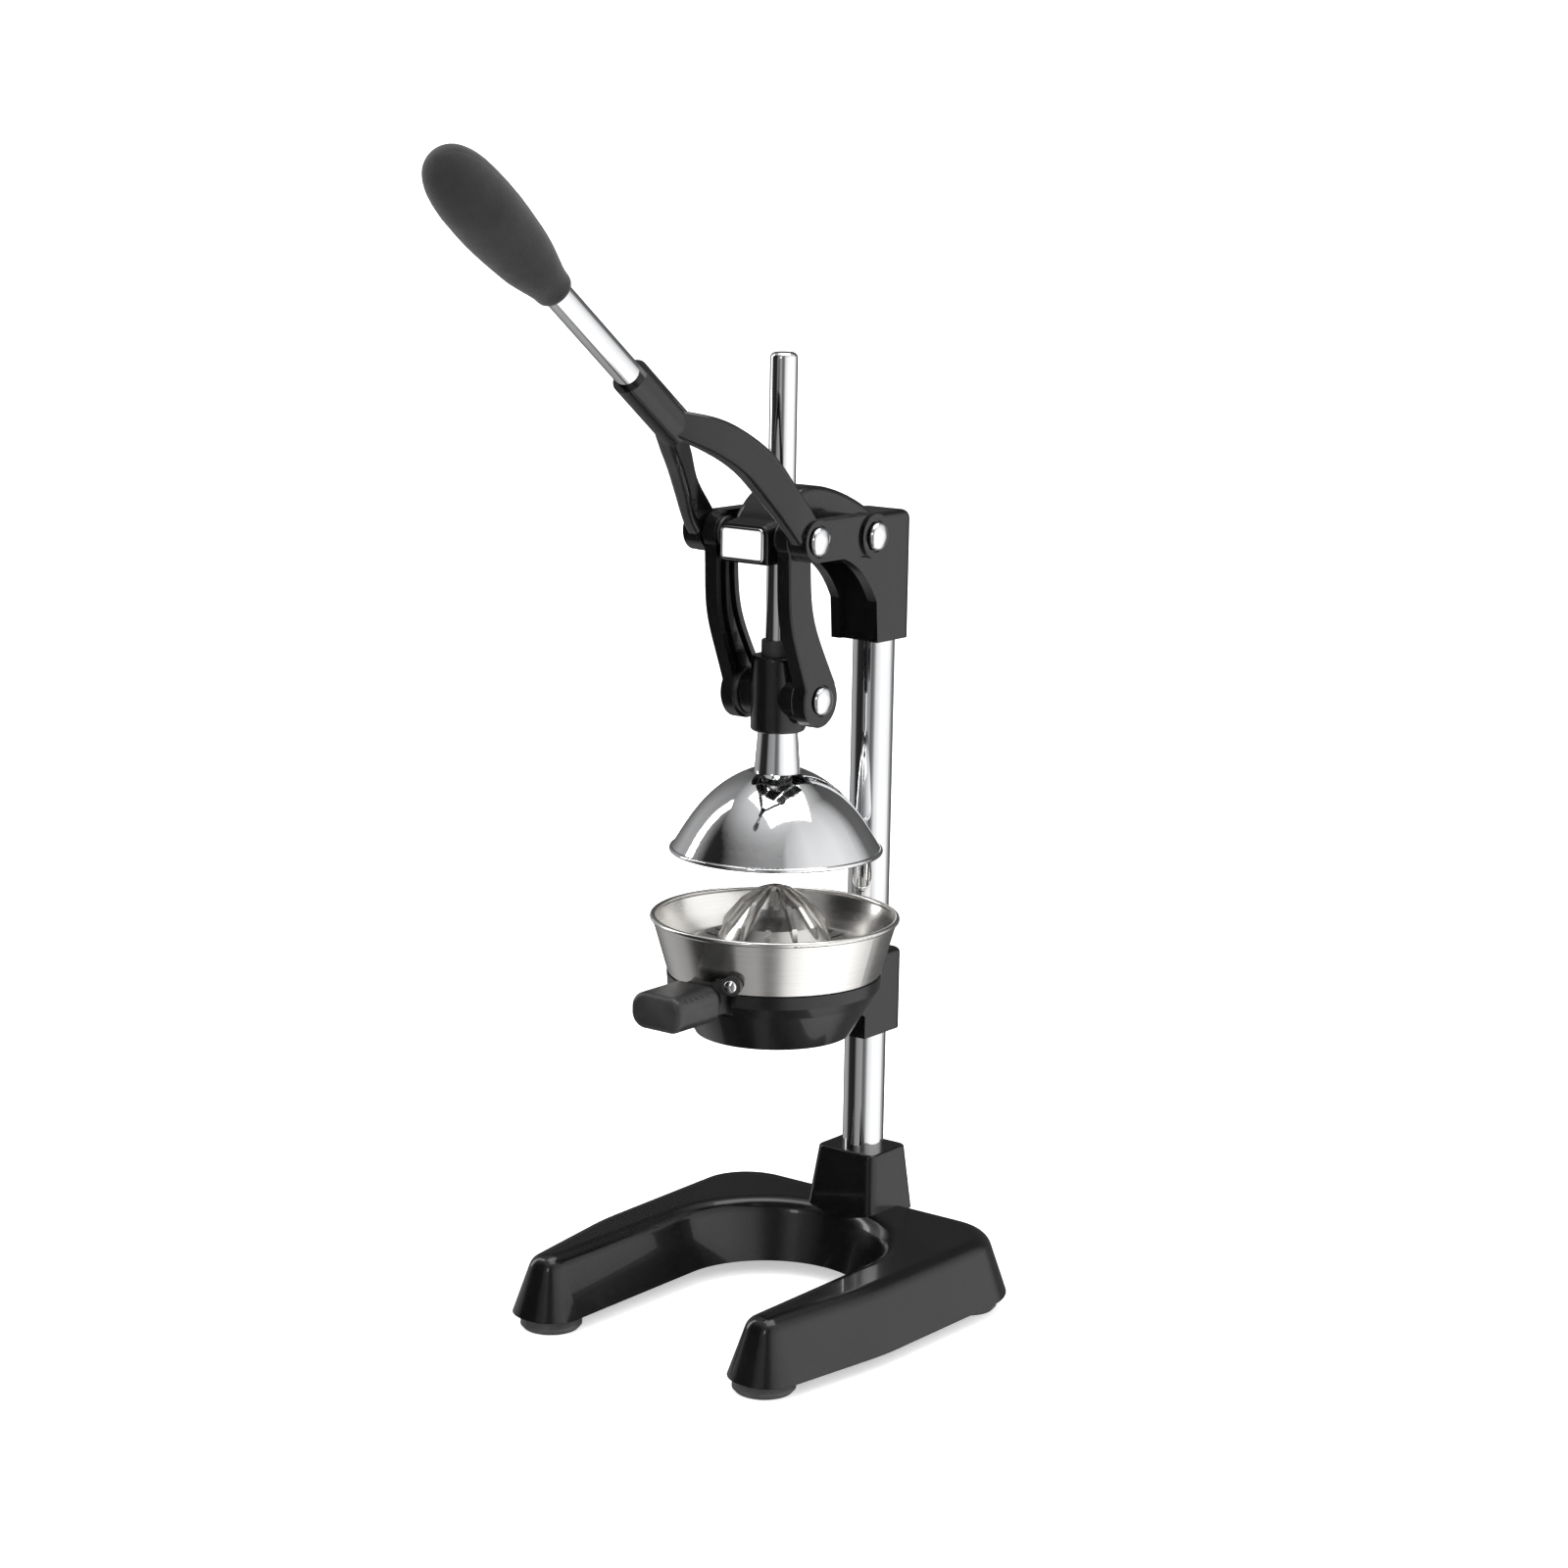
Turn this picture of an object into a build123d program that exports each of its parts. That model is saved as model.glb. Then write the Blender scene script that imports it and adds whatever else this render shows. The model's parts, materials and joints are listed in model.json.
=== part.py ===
"""Lever citrus press: U-shaped cast base, column, cup holder with bowl and
strainer, press head, fork lever, links, guide rod and pusher bell.
Millimetres, +Z up, handle towards -Y. The shapes are drawn with the guide rod
on the Z axis and moved back by ROD_Y when they are written."""
import os
from math import cos, radians, sin

from build123d import *

# ---- whole object -----------------------------------------------------------
ROD_Y = 76.16             # guide rod's distance behind the middle of the object
FIT = 0.05                # radial clearance of a running fit
GAP = 0.5                 # side clearance between parts that turn past each other

# ---- base -------------------------------------------------------------------
FOOT_H = 7.5              # height of a rubber foot
FOOT_R = 15.8
FOOT_FRONT = (68.7, -93.0)
FOOT_REAR = (79.0, 67.0)
BASE_TOP = 38.6
BASE_DRAFT = 19.0         # degrees
LEG_TIP_R = 17.8
LEG_FRONT_Y = -111.0
LEG_MID = (98.8, -33.0)
LEG_BEND_R = 160.0
BASE_SIDE_X = 101.5
BASE_REAR_Y = 100.0
BASE_CORNER_R = 40.0
CUTOUT_R = 50.5           # inner U at the foot of the wall
BASE_WALL = 6.0
BASE_EDGE_R = 9.5
BOSS_TOP = 69.5
BOSS_FOOT = (45.0, 39.5)
BOSS_HEAD = (37.5, 32.0)

# ---- column -----------------------------------------------------------------
COLUMN_R = 11.0
COLUMN_Y = 81.4
COLUMN_WALL = 2.0
COLUMN_FOOT = 18.0
COLUMN_TOP = 404.0

# ---- cup holder -------------------------------------------------------------
HOLDER_TOP = 181.0
HOLDER_FOOT = 150.0
HOLDER_R = 55.0
HOLDER_FOOT_R = 40.0
HOLDER_WALL = 4.5
CLAMP_HALF_X = 15.0
CLAMP_BACK = 95.2
CLAMP_FRONT = 60.0
CLAMP_Z = (134.5, 178.0)
NOTCH_HALF_X = 13.0

# ---- bowl and strainer ------------------------------------------------------
BOWL_RIM_R = 63.9
BOWL_RIM_Z = 210.8
BOWL_SEAT_R = 54.6
BOWL_SEAT_Z = 181.6
BOWL_T = 1.0
LEDGE_R = 48.6
DISH_FOOT = 158.0
SPOUT_R = 8.0
SPOUT_FOOT = 146.0
STRAINER_R = 51.5
STRAINER_Z = 184.0
STRAINER_RING_R = 42.0
STRAINER_RING_Z = 197.0
REAMER_R = 30.0
REAMER_TOP = 226.0
REAMER_RIBS = 12
LUG_AT = (17.0, -56.4, 187.0)
LUG_TURN = 16.5

# ---- guide rod, crosshead and bell -----------------------------------------
ROD_R = 7.0
ROD_TOP = 495.5
ROD_FOOT = 278.0
CROSS_R = 14.0
CROSS_Z = (305.9, 344.4)
CROSS_BOSS_R = 11.5
COLLAR_R = 9.0
COLLAR_TOP = 352.3
NECK_R = (10.1, 11.7)
NECK_FOOT = 285.3
BELL_RIM_R = 53.6
BELL_RIM_Z = 245.0
BELL_T = 1.4

# ---- lever linkage: (Y, Z) of the three pivots ------------------------------
PIVOT_A = (28.0, 405.0)   # lever on head
PIVOT_B = (-20.0, 406.5)  # links on lever
PIVOT_C = (0.0, 324.0)    # links on crosshead
FORK_X = (27.5, 37.0)     # fork bars
LINK_X = (19.0, 27.0)
AXLE_R = 5.0
STUD_R = 4.0
BAR_H = 20.0
ARM_EDGE_R = 2.6
BOSS_A_R = 11.2
BOSS_B_R = 10.4
LINK_EYE_B_R = 10.0
LINK_EYE_C_R = 13.8
SOCKET_MOUTH = (-118.3, 489.5)
HANDLE_TILT = 37.5        # degrees above level
SOCKET_R = 9.4
SOCKET_LEN = 44.0
TUBE_R = 6.8
GRIP_START = 66.5         # along the handle from the socket mouth
GRIP_LEN = 99.5
GRIP_NECK_R = 9.3
GRIP_R = 16.6
CAP_R = 7.2
CAP_H = 5.6
CAP_EDGE = 1.4
CAP_SINK = 1.0            # depth of the recess a cap sits in

# ---- head -------------------------------------------------------------------
HEAD_HALF_X = 14.8
HEAD_FRONT_Y = -30.5
HEAD_FLOOR = 393.5
HEAD_CLAMP_FLOOR = 344.5
HEAD_SHOULDER = 411.5
HEAD_EDGE_R = 4.0


def disc(r, x0, x1, y, z):
    """Solid cylinder along X from x0 to x1, centred on (y, z)."""
    return Pos(x0, y, z) * Rot(0, 90, 0) * Cylinder(r, x1 - x0, align=(Align.CENTER, Align.CENTER, Align.MIN))


def post(r, z0, z1, x=0.0, y=0.0):
    """Solid cylinder along Z from z0 to z1."""
    return Pos(x, y, z0) * Cylinder(r, z1 - z0, align=(Align.CENTER, Align.CENTER, Align.MIN))


def block(x0, x1, y0, y1, z0, z1):
    """Solid box between two corners."""
    return Pos(x0, y0, z0) * Box(x1 - x0, y1 - y0, z1 - z0, align=(Align.MIN, Align.MIN, Align.MIN))


def turned(points):
    """Solid of revolution about Z from (radius, height) corners."""
    return revolve(make_face(Plane.XZ * Polyline(*points, close=True)), Axis.Z)


def side_plate(outline, x0, x1):
    """A (Y, Z) face pulled along X from x0 to x1."""
    return extrude(Plane.YZ.offset(x0) * outline, x1 - x0)


def both_sides(shape):
    return [shape, mirror(shape, Plane.YZ)]


def feet_spots():
    return [(sx * x, y) for x, y in (FOOT_FRONT, FOOT_REAR) for sx in (-1, 1)]


# ---- base group -------------------------------------------------------------
def base_outline():
    corners = [
        (CUTOUT_R, LEG_FRONT_Y),
        (FOOT_FRONT[0] + LEG_TIP_R, LEG_FRONT_Y),
        LEG_MID,
        (BASE_SIDE_X, BASE_REAR_Y),
    ]
    mirrored = [(-x, y) for x, y in reversed(corners)]
    outer = make_face(Polyline(*corners[1:], *mirrored[:-1], close=True))
    rear = outer.vertices().group_by(Axis.Y)[-1]
    outer = fillet(rear, BASE_CORNER_R)
    bends = outer.vertices().filter_by(lambda v: abs(v.Y - LEG_MID[1]) < 1)
    outer = fillet(bends, LEG_BEND_R)
    cutout = Circle(CUTOUT_R) + Pos(0, LEG_FRONT_Y) * Rectangle(2 * CUTOUT_R, -2 * LEG_FRONT_Y)
    outline = outer - cutout
    tips = outline.vertices().filter_by(lambda v: abs(v.Y - LEG_FRONT_Y) < 1)
    return fillet(tips, LEG_TIP_R - 0.2)


def make_base():
    outline = base_outline()
    body = extrude(Pos(0, 0, FOOT_H) * outline, BASE_TOP - FOOT_H, taper=BASE_DRAFT)
    body = fillet(body.faces().sort_by(Axis.Z)[-1].edges(), BASE_EDGE_R)
    hollow = offset(outline, -BASE_WALL)
    body -= extrude(Pos(0, 0, FOOT_H - 1) * hollow, BASE_TOP - FOOT_H - BASE_WALL, taper=BASE_DRAFT)
    for x, y in feet_spots():
        body += post(9, FOOT_H, BASE_TOP - BASE_WALL, x, y)
    boss = loft([
        Pos(0, COLUMN_Y - 2, BASE_TOP - 4) * RectangleRounded(*BOSS_FOOT, 5),
        Pos(0, COLUMN_Y - 1, BOSS_TOP) * RectangleRounded(*BOSS_HEAD, 5),
    ])
    boss = fillet(boss.faces().sort_by(Axis.Z)[-1].edges(), 1.5)
    body += boss
    body += post(17, FOOT_H + 2, BASE_TOP, 0, COLUMN_Y)
    body -= post(COLUMN_R, COLUMN_FOOT, BOSS_TOP + 1, 0, COLUMN_Y)
    body -= post(5.2, FOOT_H, COLUMN_FOOT, 0, COLUMN_Y)
    for x, y in feet_spots():
        body -= post(2.5, FOOT_H, FOOT_H + 16, x, y)
    return body


def make_foot(x, y):
    foot = turned([(0, 0), (FOOT_R - 1.6, 0), (FOOT_R, 1.8), (FOOT_R, 3.2), (FOOT_R - 2.2, FOOT_H), (0, FOOT_H)])
    foot -= post(5.0, 0, 3.5)
    foot -= post(2.6, 0, FOOT_H)
    return Pos(x, y, 0) * foot


def make_foot_screws():
    screw = post(2.4, 3.5, FOOT_H + 14) + post(4.6, 1.2, 3.5)
    return Compound([Pos(x, y, 0) * screw for x, y in feet_spots()])


def make_column():
    tube = post(COLUMN_R, COLUMN_FOOT, COLUMN_TOP, 0, COLUMN_Y)
    return tube - post(COLUMN_R - COLUMN_WALL, COLUMN_FOOT + 12, COLUMN_TOP, 0, COLUMN_Y)


def make_column_bolt():
    head = extrude(Pos(0, COLUMN_Y, FOOT_H - 4) * RegularPolygon(8, 6), 6)
    washer = post(12, FOOT_H + 2 - 1.6, FOOT_H + 2, 0, COLUMN_Y)
    return head + washer + post(5.0, FOOT_H, COLUMN_FOOT, 0, COLUMN_Y)


# ---- cup holder, bowl and strainer ------------------------------------------
def make_holder():
    ring = turned([
        (HOLDER_R - HOLDER_WALL, HOLDER_TOP), (HOLDER_R, HOLDER_TOP), (HOLDER_R - 0.5, 174.5),
        (HOLDER_R - 4.0, 169.0), (HOLDER_FOOT_R, HOLDER_FOOT), (HOLDER_FOOT_R - 6, HOLDER_FOOT),
        (HOLDER_R - 10, 169.0), (HOLDER_R - HOLDER_WALL, 175.0),
    ])
    arm = block(-CLAMP_HALF_X, CLAMP_HALF_X, CLAMP_FRONT, CLAMP_BACK, *CLAMP_Z)
    arm = fillet(arm.edges().filter_by(Axis.Z).sort_by(Axis.Y)[-2:], 7)
    web = make_face(Polyline((38, CLAMP_Z[1]), (38, 156.0), (50, 152.5), (CLAMP_FRONT + 1, 146.0),
                             (CLAMP_FRONT + 1, CLAMP_Z[1]), close=True))
    arm += side_plate(web, -CLAMP_HALF_X, CLAMP_HALF_X)
    arm = fillet(arm.faces().sort_by(Axis.Z)[-1].edges(), 2.5)
    funnel = turned([
        (0, CLAMP_Z[0] - 1), (HOLDER_FOOT_R - 8, CLAMP_Z[0] - 1), (HOLDER_FOOT_R - 3, HOLDER_FOOT),
        (HOLDER_R - 7, 169.0), (HOLDER_R - 2, HOLDER_TOP), (0, HOLDER_TOP),
    ])
    holder = ring + (arm - funnel)
    holder -= post(COLUMN_R, CLAMP_Z[0], CLAMP_Z[1], 0, COLUMN_Y)
    holder -= block(-NOTCH_HALF_X, NOTCH_HALF_X, -HOLDER_R - 5, -HOLDER_R + 14, 168.5, HOLDER_TOP + 1)
    holder -= Pos(0, CLAMP_BACK, 156) * Rot(90, 0, 0) * Cylinder(3.0, 16)
    return holder


def make_set_screw(z):
    shank = Pos(0, COLUMN_Y + COLUMN_R, z) * Rot(-90, 0, 0)
    length = CLAMP_BACK - COLUMN_Y - COLUMN_R
    screw = shank * Cylinder(2.9, length, align=(Align.CENTER, Align.CENTER, Align.MIN))
    socket = shank * Pos(0, 0, length - 2) * extrude(RegularPolygon(1.6, 6), 3)
    return screw - socket


def make_bowl():
    """Flared wall of the bowl with its seat ledge and rolled rim."""
    slope = (BOWL_RIM_R - BOWL_SEAT_R) / (BOWL_RIM_Z - BOWL_SEAT_Z)
    shell = turned([
        (LEDGE_R, BOWL_SEAT_Z), (BOWL_SEAT_R, BOWL_SEAT_Z), (BOWL_RIM_R - 1.2, BOWL_RIM_Z - 1.2),
        (BOWL_RIM_R - 1.2 - BOWL_T, BOWL_RIM_Z - 1.2),
        (BOWL_SEAT_R - BOWL_T + slope, BOWL_SEAT_Z + BOWL_T), (LEDGE_R, BOWL_SEAT_Z + BOWL_T),
    ])
    bead = Pos(0, 0, BOWL_RIM_Z - 1.2) * Torus(BOWL_RIM_R - 1.6, 1.4)
    return shell + bead


def make_bowl_floor():
    """Sunken dish inside the ledge, sloping down to the spout."""
    return turned([
        (SPOUT_R, DISH_FOOT), (44.0, 169.5), (LEDGE_R, BOWL_SEAT_Z), (LEDGE_R, BOWL_SEAT_Z + BOWL_T),
        (LEDGE_R - 0.8, BOWL_SEAT_Z + BOWL_T), (43.2, 170.4), (SPOUT_R, DISH_FOOT + BOWL_T),
    ])


def make_bowl_spout():
    return post(SPOUT_R, SPOUT_FOOT, DISH_FOOT + BOWL_T) - post(SPOUT_R - BOWL_T, SPOUT_FOOT, DISH_FOOT + BOWL_T)


def make_strainer():
    body = turned([
        (REAMER_R - 1, STRAINER_RING_Z - 3), (STRAINER_RING_R - 2, STRAINER_RING_Z - 1.4),
        (STRAINER_RING_R, STRAINER_RING_Z - 2.0), (47.0, STRAINER_Z), (STRAINER_R, STRAINER_Z),
        (STRAINER_R, STRAINER_Z + 1.2), (47.8, STRAINER_Z + 1.2), (STRAINER_RING_R + 1, STRAINER_RING_Z - 1),
        (STRAINER_RING_R - 1, STRAINER_RING_Z), (STRAINER_RING_R - 3, STRAINER_RING_Z),
        (REAMER_R - 1, STRAINER_RING_Z - 1.8),
    ])
    slot = Pos(34.8, 0, STRAINER_RING_Z - 2) * Box(6.5, 1.8, 8)
    for k in range(24):
        body -= Rot(0, 0, 360 / 24 * k) * slot
    return body


def make_reamer():
    cone = turned([
        (0, STRAINER_RING_Z - 3), (REAMER_R - 1, STRAINER_RING_Z - 3), (REAMER_R - 1.6, STRAINER_RING_Z + 3),
        (REAMER_R - 6, 207.0), (REAMER_R - 14, 216.5), (6.0, 223.5), (0, REAMER_TOP - 1.0),
    ])
    cone -= turned([
        (0, STRAINER_RING_Z - 4), (REAMER_R - 3, STRAINER_RING_Z - 4), (REAMER_R - 9, 205.0), (8.0, 216.0), (0, 219.0),
    ])
    rib_side = make_face(Plane.XZ * Polyline(
        (3.0, 220.0), (3.0, REAMER_TOP), (8.0, REAMER_TOP - 1.5), (REAMER_R - 12.5, 218.5), (REAMER_R - 4, 208.5),
        (REAMER_R - 1.3, STRAINER_RING_Z - 2), (REAMER_R - 3.0, STRAINER_RING_Z - 2), (REAMER_R - 8, 204.0),
        (REAMER_R - 17, 213.0), close=True))
    rib = extrude(rib_side, 1.3, both=True)
    for k in range(REAMER_RIBS):
        cone += Rot(0, 0, 360 / REAMER_RIBS * k) * rib
    return cone


def make_bowl_grip():
    grip = block(-16, 16, -96, -62.5, 168.5, 187.0)
    grip = fillet(grip.edges().filter_by(Axis.Y), 8)
    return fillet(grip.edges(), 3.5)


def bowl_envelope():
    """Filled outside shape of the bowl, for trimming what is fixed to it."""
    return turned([(0, 160), (30.0, 165.0), (44.0, 169.5), (LEDGE_R, BOWL_SEAT_Z), (BOWL_SEAT_R, BOWL_SEAT_Z),
                   (BOWL_RIM_R - 1.2, BOWL_RIM_Z - 1.2), (0, BOWL_RIM_Z)])


def lug_frame():
    """Placement of the screw lug, local Z pointing out from the bowl."""
    return Pos(*LUG_AT) * Rot(0, 0, LUG_TURN) * Rot(90, 0, 0)


def make_bowl_tang():
    tang = block(-11, 11, -62.5, -44.0, 171.5, 177.0)
    tang += block(-11, 11, -57.6, -50.0, 171.5, 184.5)
    tang += lug_frame() * Cylinder(5.0, 3.2)
    tang += block(6, 15, -57.6, -50.0, HOLDER_TOP + 1, 187.5)
    return tang - bowl_envelope()


def make_bowl_screw():
    side = Polyline((0, 2.6), (0, 0), (3.3, 0), (3.3, 0.6))
    crown = Spline((3.3, 0.6), (2.1, 2.0), (0, 2.6), tangents=((0, 1), (-1, 0)))
    head = revolve(make_face(Plane.XZ * (side + crown)), Axis.Z)
    return lug_frame() * Pos(0, 0, 1.6) * head


# ---- ram group --------------------------------------------------------------
def make_rod():
    rod = post(ROD_R, ROD_FOOT, ROD_TOP)
    return fillet(rod.edges().sort_by(Axis.Z)[-1], 3.0)


def make_crosshead():
    z0, z1 = CROSS_Z
    body = post(CROSS_R, z0, z1)
    body = fillet(body.edges().filter_by(GeomType.CIRCLE), 2.0)
    y, z = PIVOT_C
    reach = LINK_X[0] - 2.6
    body += disc(CROSS_BOSS_R, -reach, reach, y, z)
    body -= disc(CROSS_BOSS_R - 2.6, reach - 1.2, reach + 1, y, z)
    body -= disc(CROSS_BOSS_R - 2.6, -reach - 1, -reach + 1.2, y, z)
    return body - post(ROD_R, z0 - 1, z1 + 1)


def make_collar():
    collar = post(COLLAR_R, CROSS_Z[1], COLLAR_TOP)
    collar = fillet(collar.edges().sort_by(Axis.Z)[-1], 0.8)
    return collar - post(ROD_R, CROSS_Z[1], COLLAR_TOP)


def make_neck():
    neck = turned([(0, NECK_FOOT), (NECK_R[1], NECK_FOOT), (NECK_R[0], CROSS_Z[0]), (0, CROSS_Z[0])])
    return neck - post(ROD_R, NECK_FOOT, CROSS_Z[0])


def make_bell():
    t = BELL_T
    crown = NECK_FOOT - 2.4
    outside = Spline((14.5, NECK_FOOT), (19.5, 283.0), (32.6, 273.8), (40.2, 265.6), (47.4, 255.2), (BELL_RIM_R, BELL_RIM_Z))
    inside = Spline((BELL_RIM_R - t, BELL_RIM_Z - 0.3), (47.4 - t, 254.2), (40.2 - t, 264.3), (32.0 - t, 272.4),
                    (19.0, 281.3), (14.5, crown))
    outline = outside + Line(outside @ 1, inside @ 0) + inside
    outline += Polyline((14.5, crown), (0, crown), (0, NECK_FOOT), (14.5, NECK_FOOT))
    shell = revolve(make_face(Plane.XZ * outline), Axis.Z)
    bead = Pos(0, 0, BELL_RIM_Z) * Torus(BELL_RIM_R - 0.5, 1.2)
    return shell + bead - post(ROD_R, NECK_FOOT - 3, NECK_FOOT)


def make_bell_nut():
    nut = extrude(Pos(0, 0, ROD_FOOT) * RegularPolygon(10.5, 6), NECK_FOOT - 2.4 - ROD_FOOT)
    return nut - post(ROD_R, ROD_FOOT, NECK_FOOT)


# ---- links ------------------------------------------------------------------
def link_strip(trim=0.0):
    """Curved bar between the two eyes, each edge moved in by trim."""
    front = Spline((-28.6 + trim, 405.0), (-27.6 + trim, 390.8), (-25.7 + trim, 366.0), (-20.3 + trim, 350.0),
                   (-12.2 + trim, 330.0))
    back = Spline((-10.8 - trim, 405.0), (-10.0 - trim, 392.0), (-7.2 - trim, 368.5), (1.2 - trim, 350.0),
                  (12.4 - trim, 331.0))
    return make_face(front + Line(front @ 1, back @ 1) + back + Line(back @ 0, front @ 0))


def make_link():
    x0, x1 = LINK_X
    eyes = Pos(*PIVOT_B) * Circle(LINK_EYE_B_R) + Pos(*PIVOT_C) * Circle(LINK_EYE_C_R)
    body = side_plate(link_strip() + eyes, x0, x1)
    channel = link_strip(3.4) - eyes - link_strip(7.6)
    body -= side_plate(channel, x0 - 1, x0 + 3.6)
    body = chamfer(body.faces().sort_by(Axis.X)[-1].edges(), 0.8)
    body -= disc(STUD_R + FIT, x0 - 1, x1 + 1, *PIVOT_B)
    body -= disc(CAP_R + 1.0, x1 - CAP_SINK, x1 + 1, *PIVOT_C)
    return body - disc(STUD_R, x0 - 1, x1 + 1, *PIVOT_C)


# ---- lever ------------------------------------------------------------------
def handle_frame(along):
    """Placement on the handle's axis, its local Z pointing out along the handle."""
    tilt = radians(HANDLE_TILT)
    y = SOCKET_MOUTH[0] - cos(tilt) * along
    z = SOCKET_MOUTH[1] + sin(tilt) * along
    return Pos(0, y, z) * Rot(90 - HANDLE_TILT, 0, 0)


def on_handle(r, a0, a1):
    """Cylinder on the handle's axis from a0 to a1 past the socket mouth."""
    return handle_frame(a0) * Cylinder(r, a1 - a0, align=(Align.CENTER, Align.CENTER, Align.MIN))


def make_arm():
    """Curved fork arm: its side view and its plan, pulled through each other."""
    top = Spline((-95.0, 474.5), (-88.5, 472.5), (-73.3, 468.7), (-58.6, 461.0), (-42.2, 447.2), (-33.0, 434.8),
                 (-24.0, 424.0), (-14.0, 411.0))
    under = Spline((-95.0, 461.5), (-87.0, 458.0), (-79.0, 454.0), (-70.5, 448.8), (-60.0, 440.5), (-51.5, 431.0),
                   (-43.0, 420.7), (-36.0, 411.8), (-24.0, 399.0))
    side = make_face(top + Line(top @ 1, under @ 1) + under + Line(under @ 0, top @ 0))
    outer = Spline((3.0, -96.0), (10.5, -87.0), (16.3, -78.0), (21.6, -69.0), (26.6, -58.0), (31.6, -45.0), (35.4, -34.0),
                   (37.0, -24.0), (37.0, -15.0))
    inner = Spline((-3.0, -92.0), (1.5, -84.5), (7.3, -75.0), (12.6, -66.0), (17.6, -55.0), (22.8, -43.0), (27.0, -33.0),
                   (27.5, -26.0), (27.5, -15.0))
    plan = make_face(outer + Line(outer @ 1, inner @ 1) + inner + Line(inner @ 0, outer @ 0))
    arm = side_plate(side, -10, 45) & extrude(Pos(0, 0, 380) * plan, 120)
    long_edges = arm.edges().filter_by(lambda e: e.length > 60)
    return fillet(long_edges, ARM_EDGE_R)


def make_fork():
    x0, x1 = FORK_X
    middle = PIVOT_A[1] + 0.8
    half = make_arm()
    half += block(x0, x1, PIVOT_B[0], PIVOT_A[0], middle - BAR_H / 2, middle + BAR_H / 2)
    half += disc(BOSS_B_R, x0, x1 + 1.5, *PIVOT_B)
    half += disc(BOSS_A_R, x0, x1 + 1.5, *PIVOT_A)
    fork = half + mirror(half, Plane.YZ)
    fork += on_handle(SOCKET_R, -SOCKET_LEN, 0)
    fork -= on_handle(TUBE_R, -SOCKET_LEN + 12, 1)
    fork -= disc(AXLE_R + FIT, -x1 - 5, x1 + 5, *PIVOT_A)
    fork -= disc(STUD_R, -x1 - 5, x1 + 5, *PIVOT_B)
    for pivot in (PIVOT_A, PIVOT_B):
        for recess in both_sides(disc(CAP_R + 1.0, x1 + 0.5, x1 + 5, *pivot)):
            fork -= recess
    return fork


def make_handle_tube():
    return on_handle(TUBE_R, -SOCKET_LEN + 12, GRIP_START + GRIP_LEN - 14)


def make_grip():
    profile = Spline((GRIP_NECK_R, 0.0), (11.5, 11.0), (13.7, 24.4), (15.8, 42.7), (GRIP_R, 63.0), (15.4, 81.0),
                     (10.4, 93.6), (0.0, GRIP_LEN), tangents=((0.2, 1), (-1, 0)))
    outline = profile + Line((0, GRIP_LEN), (0, 0)) + Line((0, 0), (GRIP_NECK_R, 0.0))
    body = revolve(make_face(Plane.XZ * outline), Axis.Z)
    body -= post(TUBE_R, 0, GRIP_LEN - 14)
    return handle_frame(GRIP_START) * body


# ---- pivots -----------------------------------------------------------------
def make_axle_a():
    return disc(AXLE_R, -FORK_X[1] - 1.0, FORK_X[1] + 1.0, *PIVOT_A)


def dome_cap(x, y, z):
    """Domed bolt head whose flat side faces the machine at x."""
    side = Polyline((0, CAP_H), (0, 0), (CAP_R, 0), (CAP_R, CAP_EDGE))
    crown = Spline((CAP_R, CAP_EDGE), (CAP_R * 0.62, CAP_H - 1.1), (0, CAP_H), tangents=((0, 1), (-1, 0)))
    cap = revolve(make_face(Plane.XZ * (side + crown)), Axis.Z)
    return Pos(x, y, z) * Rot(0, 90, 0) * cap


def make_stud_b():
    y, z = PIVOT_B
    return disc(STUD_R, LINK_X[0] - 2.0, FORK_X[1] + 0.5, y, z) + disc(8.0, LINK_X[0] - 2.0, LINK_X[0] - 0.4, y, z)


def make_stud_c():
    y, z = PIVOT_C
    return disc(STUD_R, LINK_X[0] - 3.2, LINK_X[1] - CAP_SINK, y, z)


def make_washer_c():
    y, z = PIVOT_C
    return disc(12.2, LINK_X[0] - 1.9, LINK_X[0], y, z) - disc(STUD_R, LINK_X[0] - 2, LINK_X[0], y, z)


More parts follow.
